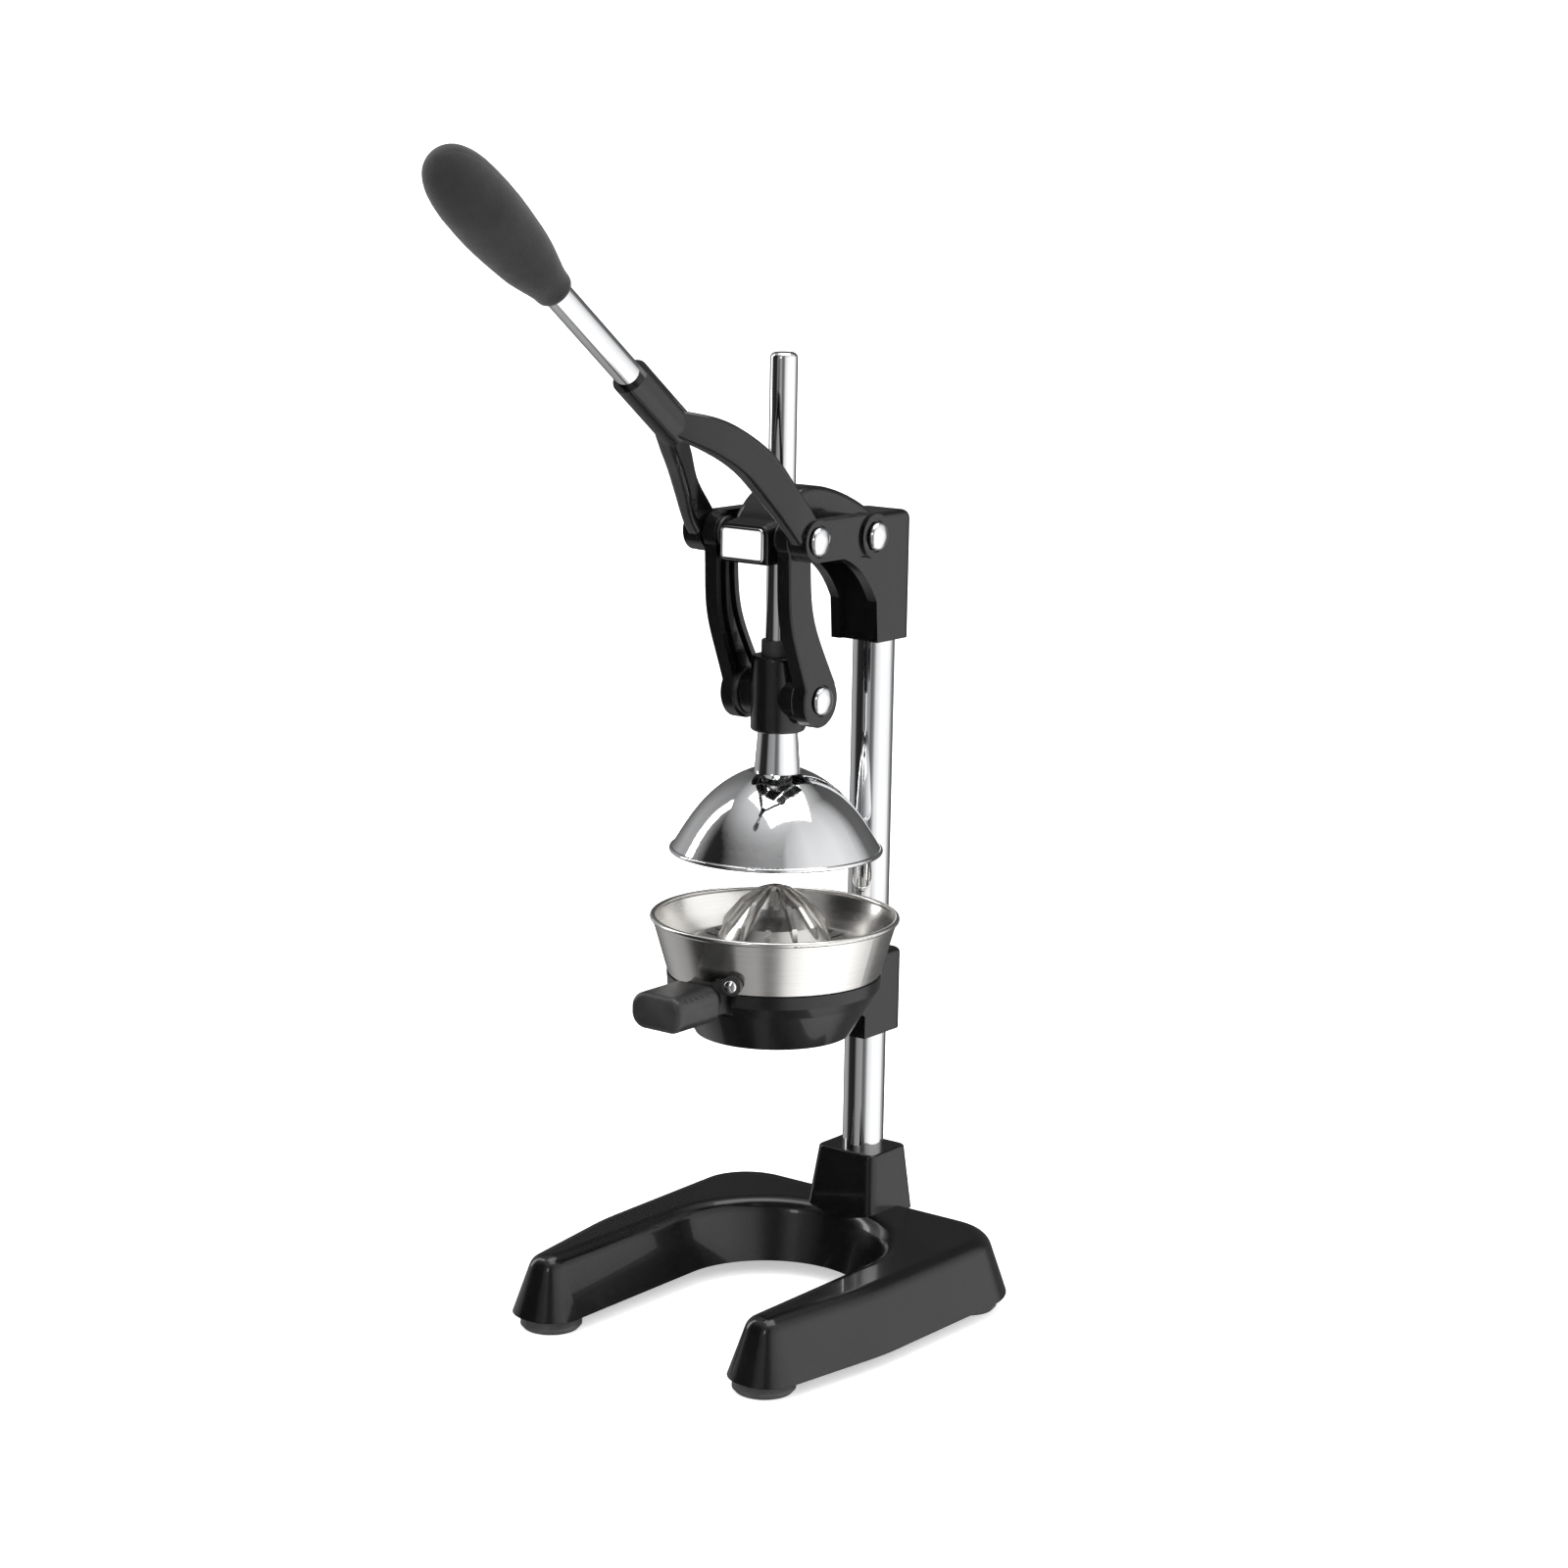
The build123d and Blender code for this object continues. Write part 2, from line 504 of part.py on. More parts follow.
# ---- head -------------------------------------------------------------------
def make_head():
    top = Spline((-20.0, 414.5), (4.0, 429.5), (26.0, 426.8), (43.0, 421.0), (62.0, HEAD_SHOULDER))
    arch = Spline((15.0, HEAD_FLOOR), (45.6, 385.0), (62.5, 366.0))
    outline = top + Polyline((62.0, HEAD_SHOULDER), (CLAMP_BACK, HEAD_SHOULDER), (CLAMP_BACK, HEAD_CLAMP_FLOOR),
                             (64.0, HEAD_CLAMP_FLOOR), (62.5, 366.0))
    outline += arch
    outline += Polyline((15.0, HEAD_FLOOR), (HEAD_FRONT_Y, HEAD_FLOOR), (HEAD_FRONT_Y, 412.5), (-20.0, 414.5))
    body = side_plate(make_face(outline), -HEAD_HALF_X, HEAD_HALF_X)
    high = body.edges().filter_by(lambda e: e.center().Z > HEAD_SHOULDER - 1)
    hump = high.filter_by(lambda e: abs(e.center().X) > HEAD_HALF_X - 0.1)
    body = fillet(hump, HEAD_EDGE_R)
    rear = body.edges().filter_by(Axis.Z).sort_by(Axis.Y)[-2:]
    body = fillet(rear, 7.5)
    body = fillet(body.edges().filter_by(Axis.X).sort_by(Axis.Y)[0:1], 1.0)
    body += disc(10.0, -LINK_X[1], LINK_X[1], *PIVOT_A)
    body -= block(-9.0, 9.0, 16.0, 66.0, HEAD_CLAMP_FLOOR - 1, 397.5)
    body += post(14.3, HEAD_CLAMP_FLOOR, 400, 0, COLUMN_Y)
    body -= post(COLUMN_R, HEAD_CLAMP_FLOOR - 1, COLUMN_TOP, 0, COLUMN_Y)
    body -= post(ROD_R + FIT, HEAD_FLOOR - 1, 440)
    body -= disc(AXLE_R, -40, 40, *PIVOT_A)
    for z in (360.0, 392.0):
        body -= Pos(0, CLAMP_BACK, z) * Rot(90, 0, 0) * Cylinder(3.0, 16)
    return body


def make_nameplate():
    plate = Pos(0, HEAD_FRONT_Y, 403.0) * Rot(90, 0, 0) * extrude(RectangleRounded(24.5, 15.0, 1.8), 1.0)
    return plate


def all_nodes():
    nodes = {
        "base_casting": make_base(),
        "foot_screws": make_foot_screws(),
        "column_tube": make_column(),
        "column_bolt": make_column_bolt(),
        "cup_holder": make_holder(),
        "holder_set_screw": make_set_screw(156.0),
        "juice_bowl": make_bowl(),
        "bowl_floor": make_bowl_floor(),
        "bowl_spout": make_bowl_spout(),
        "strainer": make_strainer(),
        "reamer_cone": make_reamer(),
        "bowl_handle_grip": make_bowl_grip(),
        "bowl_handle_tang": make_bowl_tang(),
        "bowl_handle_screw": make_bowl_screw(),
        "guide_rod": make_rod(),
        "crosshead": make_crosshead(),
        "crosshead_collar": make_collar(),
        "pusher_neck": make_neck(),
        "pusher_bell": make_bell(),
        "bell_nut": make_bell_nut(),
        "lever_fork": make_fork(),
        "handle_tube": make_handle_tube(),
        "foam_grip": make_grip(),
        "head_casting": make_head(),
        "head_set_screws": Compound([make_set_screw(360.0), make_set_screw(392.0)]),
        "nameplate": make_nameplate(),
        "pivot_a_axle": make_axle_a(),
    }
    corners = ("front_left", "front_right", "rear_left", "rear_right")
    for corner, spot in zip(corners, feet_spots()):
        nodes["foot_" + corner] = make_foot(*spot)
    pairs = {
        "link": make_link(),
        "pivot_a_cap": dome_cap(FORK_X[1] + 1.0, *PIVOT_A),
        "pivot_b_cap": dome_cap(FORK_X[1] + 0.5, *PIVOT_B),
        "pivot_c_cap": dome_cap(LINK_X[1] - CAP_SINK, *PIVOT_C),
        "pivot_b_stud": make_stud_b(),
        "pivot_c_stud": make_stud_c(),
        "pivot_c_washer": make_washer_c(),
    }
    for name, shape in pairs.items():
        right, left = both_sides(shape)
        nodes[name + "_right"] = right
        nodes[name + "_left"] = left
    return nodes


if __name__ == "__main__":
    os.makedirs("parts", exist_ok=True)
    for name, shape in all_nodes().items():
        export_step(Pos(0, ROD_Y, 0) * shape, f"parts/{name}.step")
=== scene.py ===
"""Looks of the lever citrus press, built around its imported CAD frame. Metres, +Z up."""
import json
from math import cos, pi, radians, sin, tau

import bpy
from mathutils import Matrix, Vector, noise


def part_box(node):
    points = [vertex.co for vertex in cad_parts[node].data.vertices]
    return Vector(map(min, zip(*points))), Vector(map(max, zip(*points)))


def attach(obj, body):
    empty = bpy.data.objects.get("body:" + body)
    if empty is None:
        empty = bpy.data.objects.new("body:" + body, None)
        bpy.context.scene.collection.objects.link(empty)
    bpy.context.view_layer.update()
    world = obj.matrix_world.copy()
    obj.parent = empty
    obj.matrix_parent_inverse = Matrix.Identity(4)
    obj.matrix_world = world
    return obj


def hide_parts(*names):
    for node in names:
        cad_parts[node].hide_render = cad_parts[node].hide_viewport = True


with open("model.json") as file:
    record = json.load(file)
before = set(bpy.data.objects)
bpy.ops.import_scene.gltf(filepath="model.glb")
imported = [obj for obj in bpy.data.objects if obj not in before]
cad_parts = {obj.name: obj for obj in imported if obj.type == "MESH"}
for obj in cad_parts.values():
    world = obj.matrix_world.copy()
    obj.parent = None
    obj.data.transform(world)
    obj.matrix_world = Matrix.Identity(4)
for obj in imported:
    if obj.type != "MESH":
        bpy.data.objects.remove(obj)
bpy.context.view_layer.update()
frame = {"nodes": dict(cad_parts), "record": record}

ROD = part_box("guide_rod")
ROD_Y = (ROD[0].y + ROD[1].y) / 2

# ---- camera -----------------------------------------------------------------
CAMERA_AT = Vector((1.0084, ROD_Y - 1.3282, 0.6115))
CAMERA_TURN = radians(37.0)
CAMERA_RISE = radians(11.3)
CAMERA_ROLL = radians(0.99)
CAMERA_LENS = 77.22

# ---- handle -----------------------------------------------------------------
HANDLE_MOUTH = Vector((0.0, ROD_Y - 0.1183, 0.4895))
HANDLE_TILT = radians(37.5)
MM = 0.001

# ---- foam grip: (radius, distance past the socket mouth) in mm ----------------
GRIP_STATIONS = [(7.0, 67.4), (7.9, 66.8), (8.8, 66.9), (9.35, 67.8), (9.45, 69.2), (9.35, 70.8), (9.5, 72.6),
                 (10.1, 75.5), (11.5, 81.0), (12.7, 86.0), (13.7, 91.0), (14.9, 99.5), (15.8, 109.0),
                 (16.4, 119.0), (16.6, 129.0), (16.35, 138.0), (15.5, 146.5), (14.2, 153.0), (12.3, 158.3),
                 (10.0, 161.9), (7.2, 164.3), (4.0, 165.6), (1.5, 165.95)]
GRIP_SPACING = 1.6
GRIP_STEPS = 120
GRIP_TIP = 166.0
GRIP_ROOT = 68.5
FOAM_WAVE = 0.00022
FOAM_RIPPLE = 0.00007
SEAM_TURN = radians(35.0)
SEAM_DEPTH = 0.00018
SEAM_HALF = 0.8           # mm
SEAM_START = 70           # mm past the socket mouth

# ---- small pieces, in metres -------------------------------------------------
PLATE_CORNER = 0.0018
RIM_SINK = 0.0004
RIM_SECTION = ((0.0009, 0.0), (0.0009, 0.0006), (0.0006, 0.0010), (-0.0002, 0.0010), (-0.0005, 0.0006),
               (-0.0005, 0.0))
HANDLE_EDGE_R = 0.0080
DOT_COUNT = 5
DOT_R = 0.0010
DOT_H = 0.0007
DOT_SINK = 0.0006
DOT_FIRST = 0.0085
DOT_PITCH = 0.0042
SCREW_TURN = radians(16.5)
CROSS_OUT = 0.00095
CROSS_ARM = 0.0016
CROSS_HALF = 0.00035
CROSS_DEPTH = (-0.0006, 0.0002)

# ---- studio surroundings: (degrees, brightness) ------------------------------
AROUND = ((-180, 0.45), (-160, 0.35), (-148, 0.03), (-112, 0.02), (-98, 0.32), (-72, 0.42), (-60, 0.12),
          (-48, 0.30), (-36, 1.00), (-5, 1.45), (35, 1.35), (60, 0.90), (78, 0.16), (127, 0.08), (150, 0.22),
          (168, 0.45), (180, 0.45))
UPWARD = ((-90, 0.9), (-40, 1.05), (-20, 0.85), (12, 0.95), (35, 0.70), (60, 0.5), (90, 0.5))
OVERHEAD = ((-90, 0.0), (38, 0.0), (62, 0.62), (90, 0.8))


def make_camera():
    data = bpy.data.cameras.new("camera")
    data.lens = CAMERA_LENS
    data.sensor_width = 36.0
    data.shift_x = -0.0031
    camera = bpy.data.objects.new("camera", data)
    bpy.context.collection.objects.link(camera)
    a, e, roll = CAMERA_TURN, CAMERA_RISE, CAMERA_ROLL
    back = Vector((sin(a) * cos(e), -cos(a) * cos(e), sin(e)))
    right = Vector((cos(a), sin(a), 0.0))
    up = back.cross(right)
    side = right * cos(roll) + up * sin(roll)
    top = up * cos(roll) - right * sin(roll)
    camera.matrix_world = Matrix.Translation(CAMERA_AT) @ Matrix((side, top, back)).transposed().to_4x4()
    bpy.context.scene.camera = camera


# ---- material helpers -------------------------------------------------------
class NodeTree:
    """Short way to write shader nodes."""

    def __init__(self, tree):
        self.tree = tree

    def feed(self, socket, value):
        if isinstance(value, bpy.types.NodeSocket):
            self.tree.links.new(value, socket)
        else:
            socket.default_value = value

    def node(self, kind, **inputs):
        made = self.tree.nodes.new("ShaderNode" + kind)
        for key, value in inputs.items():
            self.feed(made.inputs[key], value)
        return made

    def math(self, operation, *values):
        made = self.tree.nodes.new("ShaderNodeMath")
        made.operation = operation
        for k, value in enumerate(values):
            self.feed(made.inputs[k], value)
        return made.outputs[0]

    def ramp(self, fac, *stops):
        made = self.tree.nodes.new("ShaderNodeValToRGB")
        self.tree.links.new(fac, made.inputs[0])
        elements = made.color_ramp.elements
        while len(elements) < len(stops):
            elements.new(0.5)
        for element, (at, color) in zip(elements, stops):
            element.position = at
            element.color = (*color, 1.0)
        return made.outputs[0]

    def range(self, fac, low, high, start=0.0, end=1.0):
        made = self.tree.nodes.new("ShaderNodeMapRange")
        for k, value in enumerate((fac, start, end, low, high)):
            self.feed(made.inputs[k], value)
        return made.outputs[0]


class Shader(NodeTree):
    """Node tree around the Principled shader of a new material."""

    def __init__(self, name):
        self.material = bpy.data.materials.new(name)
        self.material.use_nodes = True
        super().__init__(self.material.node_tree)
        self.bsdf = self.tree.nodes["Principled BSDF"]
        self.coords = self.tree.nodes.new("ShaderNodeTexCoord").outputs["Object"]

    def set(self, **values):
        for key, value in values.items():
            self.bsdf.inputs[key.replace("_", " ")].default_value = value
        return self

    def link(self, source, name):
        self.tree.links.new(source, self.bsdf.inputs[name])

    def noise(self, scale, detail=3.0, rough=0.5, vector=None):
        return self.node("TexNoise", Vector=vector or self.coords, Scale=scale, Detail=detail,
                         Roughness=rough).outputs["Fac"]

    def bump(self, height, strength, distance, normal=None):
        inputs = {"Height": height, "Strength": strength, "Distance": distance}
        if normal is not None:
            inputs["Normal"] = normal
        return self.node("Bump", **inputs).outputs[0]

    def around_rod(self, across, along):
        """Coordinates that run round the guide rod's axis, for turned and brushed finishes."""
        x, y, z = self.node("SeparateXYZ", Vector=self.coords).outputs
        y = self.math("SUBTRACT", y, ROD_Y)
        radius = self.math("SQRT", self.math("ADD", self.math("MULTIPLY", x, x), self.math("MULTIPLY", y, y)))
        angle = self.math("ARCTAN2", y, x)
        return self.node("CombineXYZ", X=self.math("MULTIPLY", radius, across), Y=self.math("MULTIPLY", z, across),
                         Z=self.math("MULTIPLY", angle, along)).outputs[0]


def grey(value):
    return (value, value, value)


def black_enamel():
    s = Shader("black_enamel").set(Metallic=0.0, IOR=1.5, Specular_IOR_Level=0.32, Coat_Weight=0.5,
                                     Coat_Roughness=0.035, Coat_IOR=1.5)
    broad = s.noise(22.0, 2.0)
    s.link(s.ramp(broad, (0.3, (0.0018, 0.0018, 0.0020)), (0.7, (0.0034, 0.0033, 0.0035))), "Base Color")
    s.link(s.range(s.noise(35.0, 3.0), 0.20, 0.30), "Roughness")
    peel = s.bump(s.noise(60.0, 1.0, 0.4), 0.03, 0.0002)
    s.link(peel, "Normal")
    s.link(peel, "Coat Normal")
    return s.material


def chrome():
    s = Shader("bright_chrome").set(Metallic=1.0)
    s.link(s.ramp(s.noise(30.0, 3.0), (0.3, (0.80, 0.805, 0.82)), (0.7, (0.86, 0.865, 0.875))), "Base Color")
    smear = s.noise(45.0, 5.0, 0.6)
    s.link(s.range(smear, 0.035, 0.085, 0.35, 0.75), "Roughness")
    s.link(s.bump(s.noise(160.0, 2.0), 0.02, 0.0003), "Normal")
    return s.material


def turned_steel(name, tint, rough):
    s = Shader(name).set(Metallic=1.0, Anisotropic=0.3)
    rings = s.noise(1.0, 3.0, 0.65, s.around_rod(2600.0, 1.2))
    broad = s.noise(1.0, 2.0, 0.5, s.around_rod(160.0, 2.0))
    s.link(s.ramp(rings, (0.25, tuple(c * 0.88 for c in tint)), (0.75, tint)), "Base Color")
    s.link(s.math("ADD", s.range(rings, rough - 0.05, rough + 0.05), s.range(broad, -0.03, 0.03)), "Roughness")
    s.link(s.bump(rings, 0.10, 0.0001), "Normal")
    return s.material


def zinc_steel():
    s = Shader("zinc_steel").set(Metallic=1.0)
    s.link(s.ramp(s.noise(180.0, 4.0), (0.3, grey(0.42)), (0.7, grey(0.62))), "Base Color")
    s.link(s.range(s.noise(320.0, 3.0), 0.24, 0.42), "Roughness")
    s.link(s.bump(s.noise(900.0, 2.0), 0.12, 0.0002), "Normal")
    return s.material


def foam():
    s = Shader("foam").set(Sheen_Weight=0.12, Sheen_Roughness=0.5, Specular_IOR_Level=0.25)
    cells = s.node("TexVoronoi", Vector=s.coords, Scale=1500.0).outputs["Distance"]
    pores = s.node("TexVoronoi", Vector=s.coords, Scale=620.0).outputs["Distance"]
    cloud = s.noise(38.0, 4.0)
    s.link(s.ramp(s.math("MULTIPLY", cloud, s.range(cells, 0.85, 1.1)), (0.25, grey(0.0095)), (0.75, grey(0.017))),
           "Base Color")
    s.link(s.range(cells, 0.80, 0.95), "Roughness")
    s.link(s.bump(cells, 0.30, 0.0003, s.bump(pores, 0.15, 0.0004)), "Normal")
    return s.material


def foot_rubber():
    s = Shader("foot_rubber")
    s.link(s.ramp(s.noise(120.0, 4.0), (0.3, grey(0.022)), (0.75, grey(0.048))), "Base Color")
    s.link(s.range(s.noise(260.0, 3.0), 0.42, 0.62), "Roughness")
    s.link(s.bump(s.noise(1400.0, 2.0), 0.18, 0.0002), "Normal")
    return s.material


def dark_plastic():
    s = Shader("dark_plastic").set(Coat_Weight=0.15, Coat_Roughness=0.3)
    s.link(s.ramp(s.noise(70.0, 3.0), (0.3, grey(0.013)), (0.7, grey(0.022))), "Base Color")
    s.link(s.range(s.noise(340.0, 3.0), 0.30, 0.44), "Roughness")
    s.link(s.bump(s.noise(2100.0, 2.0), 0.16, 0.00015), "Normal")
    return s.material


def plate_white():
    s = Shader("plate_white").set(Coat_Weight=0.4, Coat_Roughness=0.08)
    s.link(s.ramp(s.noise(90.0, 3.0), (0.3, (0.74, 0.74, 0.73)), (0.7, (0.80, 0.80, 0.79))), "Base Color")
    s.link(s.range(s.noise(400.0, 2.0), 0.22, 0.34), "Roughness")
    s.link(s.bump(s.noise(1200.0, 2.0), 0.05, 0.0001), "Normal")
    return s.material


def floor_paper():
    s = Shader("floor_paper")
    s.set(Emission_Strength=0.46, Emission_Color=(1.0, 1.0, 1.0, 1.0))
    s.link(s.ramp(s.noise(6.0, 3.0), (0.3, grey(0.80)), (0.7, grey(0.82))), "Base Color")
    s.link(s.range(s.noise(40.0, 3.0), 0.7, 0.85), "Roughness")
    return s.material


MATERIALS = {
    "black_enamel": black_enamel(),
    "bright_chrome": chrome(),
    "bowl_steel": turned_steel("bowl_steel", (0.86, 0.845, 0.82), 0.20),
    "foam": foam(),
    "foot_rubber": foot_rubber(),
    "dark_plastic": dark_plastic(),
    "plate_white": plate_white(),
    "zinc_steel": zinc_steel(),
}


def dress_cad_nodes():
    for part in frame["record"]["subparts"]:
        node = frame["nodes"][part["node"]]
        material = MATERIALS[part["material_slot"]]
        if not node.material_slots:
            node.data.materials.append(material)
        for place in node.material_slots:
            place.link = "OBJECT"
            place.material = material


# ---- added pieces -----------------------------------------------------------
def add_mesh(name, verts, faces, slot, body, smooth=True):
    mesh = bpy.data.meshes.new(name)
    mesh.from_pydata(verts, [], faces)
    mesh.validate()
    mesh.update()
    for face in mesh.polygons:
        face.use_smooth = smooth
    piece = bpy.data.objects.new(name, mesh)
    bpy.context.collection.objects.link(piece)
    piece.data.materials.append(MATERIALS[slot])
    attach(piece, body)
    return piece


def spin(profile, place, steps):
    """Closed surface turned about place's Z axis from (radius, height) pairs that start and end on the axis."""
    verts = [place @ Vector((0, 0, profile[0][1]))]
    for r, h in profile[1:-1]:
        verts += [place @ Vector((r * cos(tau * k / steps), r * sin(tau * k / steps), h)) for k in range(steps)]
    verts.append(place @ Vector((0, 0, profile[-1][1])))
    rings = len(profile) - 2
    faces = [(0, 1 + (k + 1) % steps, 1 + k) for k in range(steps)]
    for j in range(rings - 1):
        low, high = 1 + j * steps, 1 + (j + 1) * steps
        faces += [(low + k, low + (k + 1) % steps, high + (k + 1) % steps, high + k) for k in range(steps)]
    last = 1 + (rings - 1) * steps
    faces += [(last + k, last + (k + 1) % steps, len(verts) - 1) for k in range(steps)]
    return verts, faces


def ring_walls(rings, steps):
    """Quads between neighbouring rings of the same number of points."""
    return [(j * steps + k, j * steps + (k + 1) % steps, (j + 1) * steps + (k + 1) % steps, (j + 1) * steps + k)
            for j in range(rings - 1) for k in range(steps)]


def even_profile(stations, spacing):
    """Points along (radius, distance) stations at about this spacing, softened at the corners."""
    profile = []
    for (r, a), (r2, a2) in zip(stations, stations[1:]):
        pieces = max(1, round(abs(a2 - a) / spacing))
        profile += [(r + (r2 - r) * t / pieces, a + (a2 - a) * t / pieces) for t in range(pieces)]
    profile.append(stations[-1])
    for _ in range(3):
        inner = [((p[0] + 2 * q[0] + n[0]) / 4, (p[1] + 2 * q[1] + n[1]) / 4)
                 for p, q, n in zip(profile, profile[1:], profile[2:])]
        profile = [profile[0], *inner, profile[-1]]
    return profile


def make_foam_grip():
    """Moulded foam sleeve: rolled lip, slim neck, swelling body and round end, with a faint parting line."""
    profile = even_profile(GRIP_STATIONS, GRIP_SPACING)
    place = Matrix.Translation(HANDLE_MOUTH) @ Matrix.Rotation(pi / 2 - HANDLE_TILT, 4, "X")
    verts = []
    for r, a in profile:
        for k in range(GRIP_STEPS):
            turn = tau * k / GRIP_STEPS
            spot = Vector((r * cos(turn), r * sin(turn), a)) * MM
            swell = noise.noise(spot * 70.0) * FOAM_WAVE + noise.noise(spot * 260.0) * FOAM_RIPPLE
            off_seam = min(abs(turn - SEAM_TURN), abs(turn - SEAM_TURN - pi)) * r
            groove = SEAM_DEPTH * max(0.0, 1.0 - off_seam / SEAM_HALF) if a > SEAM_START else 0.0
            scale = 1.0 + (swell - groove) / max(r * MM, 4 * MM)
            verts.append(place @ Vector((spot.x * scale, spot.y * scale, spot.z)))
    rings = len(profile)
    faces = ring_walls(rings, GRIP_STEPS)
    tip, root = len(verts), len(verts) + 1
    verts += [place @ Vector((0, 0, along * MM)) for along in (GRIP_TIP, GRIP_ROOT)]
    last = (rings - 1) * GRIP_STEPS
    faces += [(last + k, last + (k + 1) % GRIP_STEPS, tip) for k in range(GRIP_STEPS)]
    faces += [((k + 1) % GRIP_STEPS, k, root) for k in range(GRIP_STEPS)]
    grip = add_mesh("foam_sleeve", verts, faces, "foam", "lever")
    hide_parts("foam_grip")


def rounded_ring(width, height, corner, steps):
    """Closed list of (x, z) points round a rounded rectangle."""
    points = []
    for cx, cz, start in ((1, 1, 0), (-1, 1, 90), (-1, -1, 180), (1, -1, 270)):
        for k in range(steps + 1):
            a = radians(start + 90.0 * k / steps)
            points.append((cx * (width / 2 - corner) + corner * cos(a),
                           cz * (height / 2 - corner) + corner * sin(a)))
    return points


def make_plate_rim():
    """Thin raised metal rim round the blank nameplate."""
    low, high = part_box("nameplate")
    middle = (low + high) / 2
    width, height = high.x - low.x, high.z - low.z
    verts = []
    for grow, out in RIM_SECTION:
        ring = rounded_ring(width + 2 * grow, height + 2 * grow, PLATE_CORNER + grow, 8)
        verts += [Vector((middle.x + x, low.y + RIM_SINK - out, middle.z + z)) for x, z in ring]
    loops = len(RIM_SECTION)
    count = len(verts) // loops
    faces = ring_walls(loops, count)
    start = (loops - 1) * count
    faces += [(start + k, start + (k + 1) % count, (k + 1) % count, k) for k in range(count)]
    add_mesh("nameplate_rim", verts, faces, "bright_chrome", "stand")


def make_handle_dots():
    """Row of low round dots along the upper right edge of the bowl handle."""
    low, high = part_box("bowl_handle_grip")
    profile = [(0.0, -DOT_SINK), (DOT_R, -DOT_SINK), (DOT_R, DOT_H * 0.25)]
    profile += [(DOT_R * cos(radians(a)), DOT_H * (0.25 + 0.75 * sin(radians(a)))) for a in (20, 40, 60, 78)]
    profile.append((0.0, DOT_H))
    slant = radians(45)
    out = Vector((sin(slant), 0, cos(slant)))
    facing = out.to_track_quat("Z", "Y").to_matrix().to_4x4()
    for k in range(DOT_COUNT):
        corner = Vector((high.x - HANDLE_EDGE_R, low.y + DOT_FIRST + DOT_PITCH * k, high.z - HANDLE_EDGE_R))
        place = Matrix.Translation(corner + out * HANDLE_EDGE_R) @ facing
        verts, faces = spin(profile, place, 20)
        add_mesh(f"bowl_handle_dot_{k + 1}", verts, faces, "dark_plastic", "bowl")


def make_screw_cross():
    """Cross recess of the bowl screw, drawn as a thin dark cross on its crown: painted shade standing in for the
    hollow of the recess.
    """
    low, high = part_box("bowl_handle_screw")
    turn = Matrix.Rotation(SCREW_TURN, 3, "Z")
    out, side, up = turn @ Vector((0, -1, 0)), turn @ Vector((1, 0, 0)), Vector((0, 0, 1))
    centre = (low + high) / 2 + out * CROSS_OUT
    arm, half = CROSS_ARM, CROSS_HALF
    outline = [(half, arm), (half, half), (arm, half), (arm, -half), (half, -half), (half, -arm), (-half, -arm),
               (-half, -half), (-arm, -half), (-arm, half), (-half, half), (-half, arm)]
    verts = [centre + side * x + up * z + out * d for d in CROSS_DEPTH for x, z in outline]
    count = len(outline)
    faces = [tuple(range(count)), tuple(reversed(range(count, 2 * count)))]
    faces += ring_walls(2, count)
    # the dark_plastic colour here is painted shade of the recess, not a plastic part
    add_mesh("bowl_screw_cross_painted_shade", verts, faces, "dark_plastic", "bowl", smooth=False)


# ---- stage ------------------------------------------------------------------
def make_stage():
    """Round pale floor that curves up into a closed pale dome, so every view has a plain background."""
    profile = [(0.0, 0.0), (0.6, 0.0), (1.6, 0.0), (3.0, 0.0)]
    profile += [(3.0 + 1.4 * sin(radians(a)), 1.4 - 1.4 * cos(radians(a))) for a in range(10, 91, 10)]
    profile += [(4.4, 2.6)]
    profile += [(4.4 * cos(radians(a)), 2.6 + 3.0 * sin(radians(a))) for a in range(15, 90, 15)]
    profile += [(0.0, 5.6)]
    verts, faces = spin(profile, Matrix.Identity(4), 64)
    mesh = bpy.data.meshes.new("floor")
    mesh.from_pydata(verts, [], faces)
    for face in mesh.polygons:
        face.use_smooth = True
    floor = bpy.data.objects.new("floor", mesh)
    bpy.context.collection.objects.link(floor)
    floor.data.materials.append(floor_paper())
    floor.visible_glossy = False


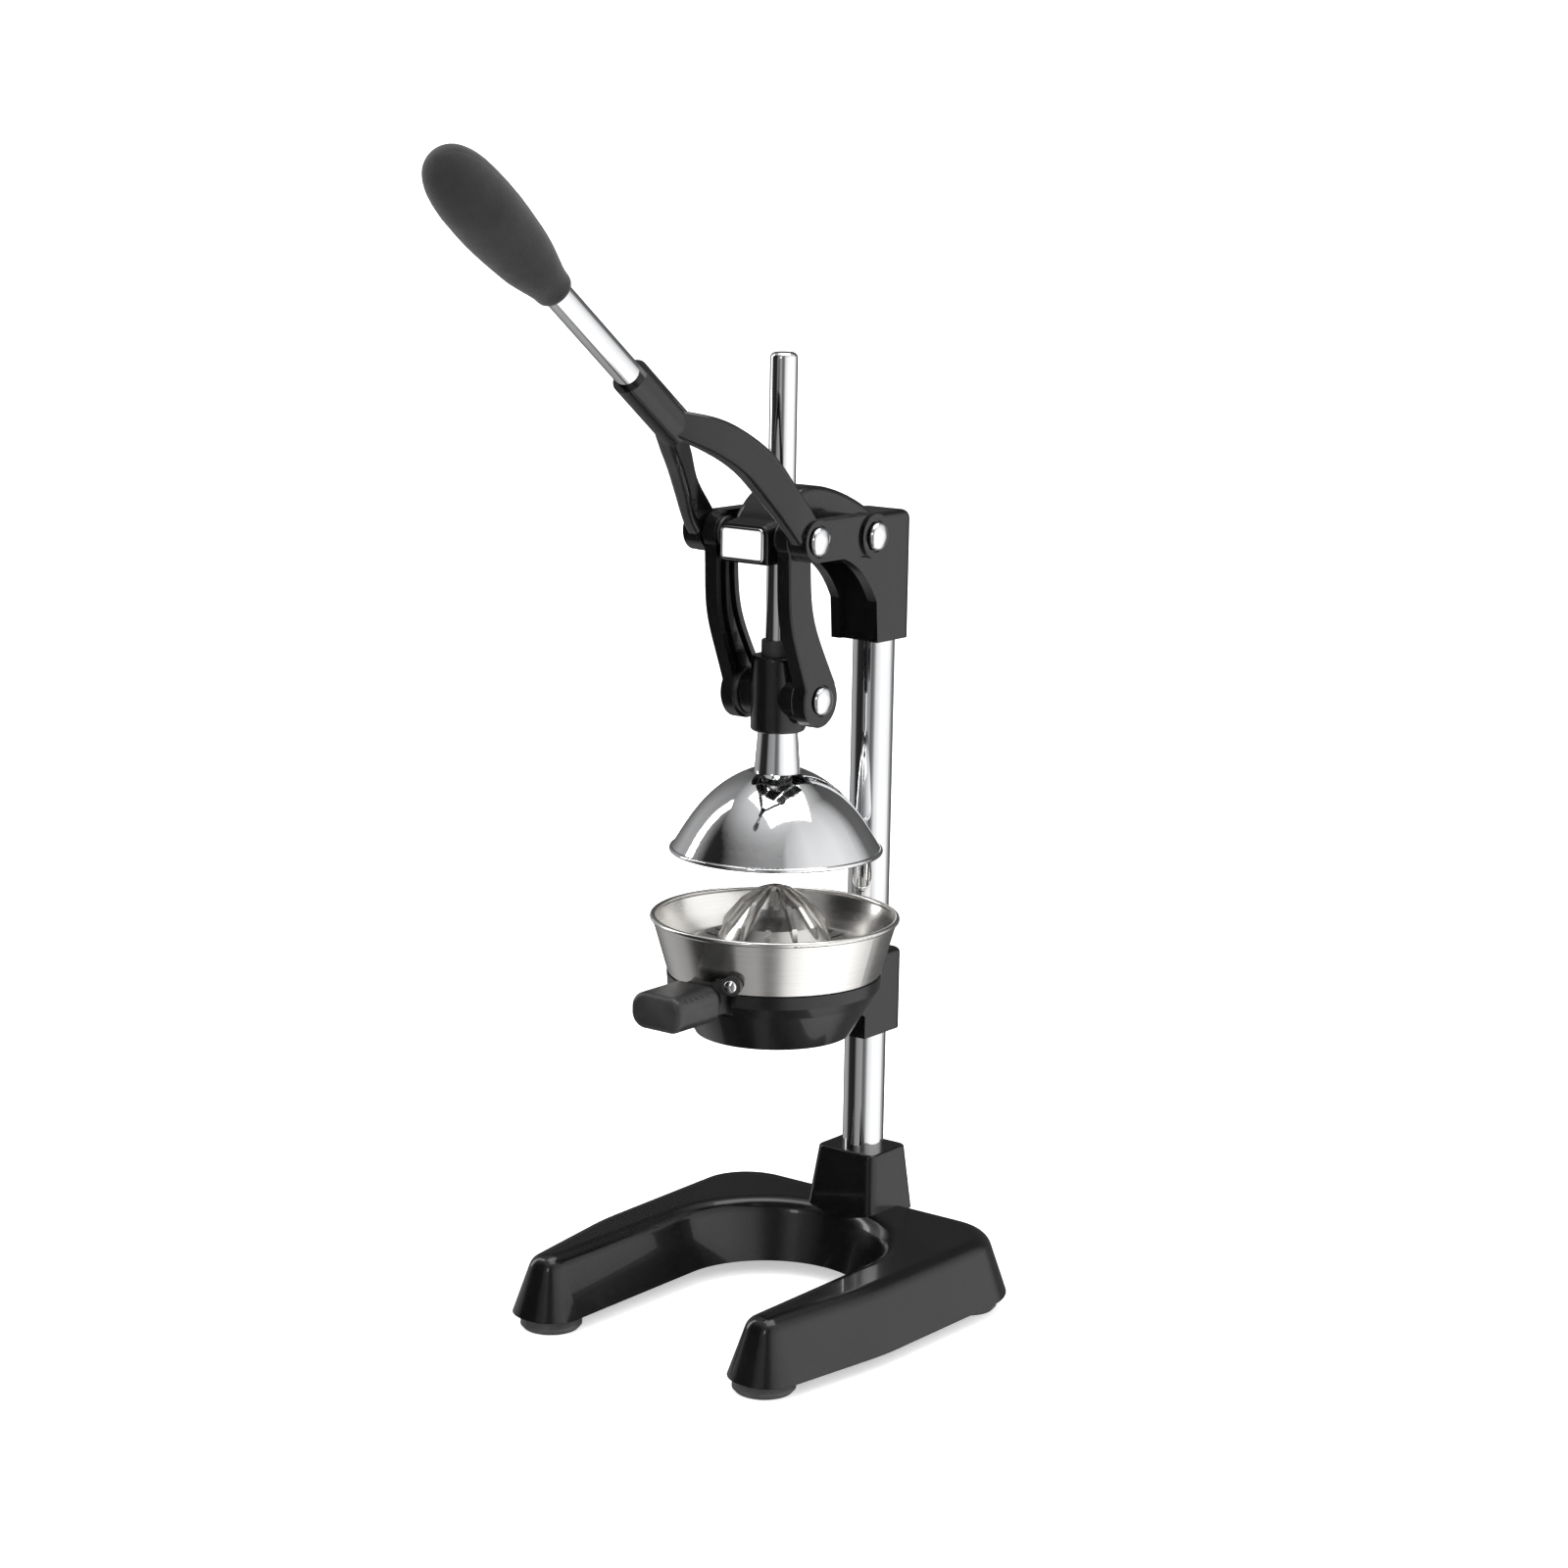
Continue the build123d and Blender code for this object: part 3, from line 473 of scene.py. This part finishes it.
def softbox(name, at, aim, size, watts, mirrored=True):
    data = bpy.data.lights.new(name, "AREA")
    data.shape = "RECTANGLE"
    data.size, data.size_y = size
    data.energy = watts
    lamp = bpy.data.objects.new(name, data)
    bpy.context.collection.objects.link(lamp)
    direction = Vector(aim) - Vector(at)
    lamp.matrix_world = Matrix.Translation(at) @ direction.to_track_quat("-Z", "Y").to_matrix().to_4x4()
    lamp.visible_camera = False
    lamp.visible_glossy = mirrored


def elevation_stop(degrees):
    """Place of an elevation on a ramp driven by half the height of a direction plus one half."""
    return (sin(radians(degrees)) + 1) / 2


def make_world():
    """Studio surroundings seen only in reflections: bright to the right, dark to the front left."""
    world = bpy.data.worlds.new("studio")
    bpy.context.scene.world = world
    world.use_nodes = True
    world.cycles.sampling_method = "NONE"
    sky = NodeTree(world.node_tree)
    direction = sky.tree.nodes.new("ShaderNodeTexCoord").outputs["Generated"]
    x, y, z = sky.node("SeparateXYZ", Vector=direction).outputs
    azimuth = sky.math("ADD", sky.math("DIVIDE", sky.math("ARCTAN2", y, x), tau), 0.5)
    height = sky.math("ADD", sky.math("MULTIPLY", z, 0.5), 0.5)
    around = sky.ramp(azimuth, *[((a + 180) / 360, grey(value)) for a, value in AROUND])
    upward = sky.ramp(height, *[(elevation_stop(e), grey(value)) for e, value in UPWARD])
    overhead = sky.ramp(height, *[(elevation_stop(e), grey(value)) for e, value in OVERHEAD])
    background = sky.tree.nodes["Background"]
    sky.tree.links.new(sky.math("MAXIMUM", sky.math("MULTIPLY", around, upward), overhead), background.inputs[0])
    background.inputs[1].default_value = 1.0


def make_lights():
    middle = (0.0, 0.0, 0.3)
    softbox("box_right_back", (1.5, 1.7, 1.0), middle, (1.2, 1.8), 12, mirrored=False)
    softbox("box_left", (-1.9, -0.3, 1.1), middle, (0.35, 1.9), 9)
    softbox("box_top", (0.1, 0.2, 2.3), middle, (1.8, 1.8), 24)
    softbox("box_front", (0.5, -2.6, 1.6), middle, (0.4, 0.9), 5)


make_camera()
dress_cad_nodes()
make_foam_grip()
make_plate_rim()
make_handle_dots()
make_screw_cross()
make_stage()
make_world()
make_lights()
scene = bpy.context.scene
scene.view_settings.view_transform = "Standard"
scene.view_settings.look = "None"
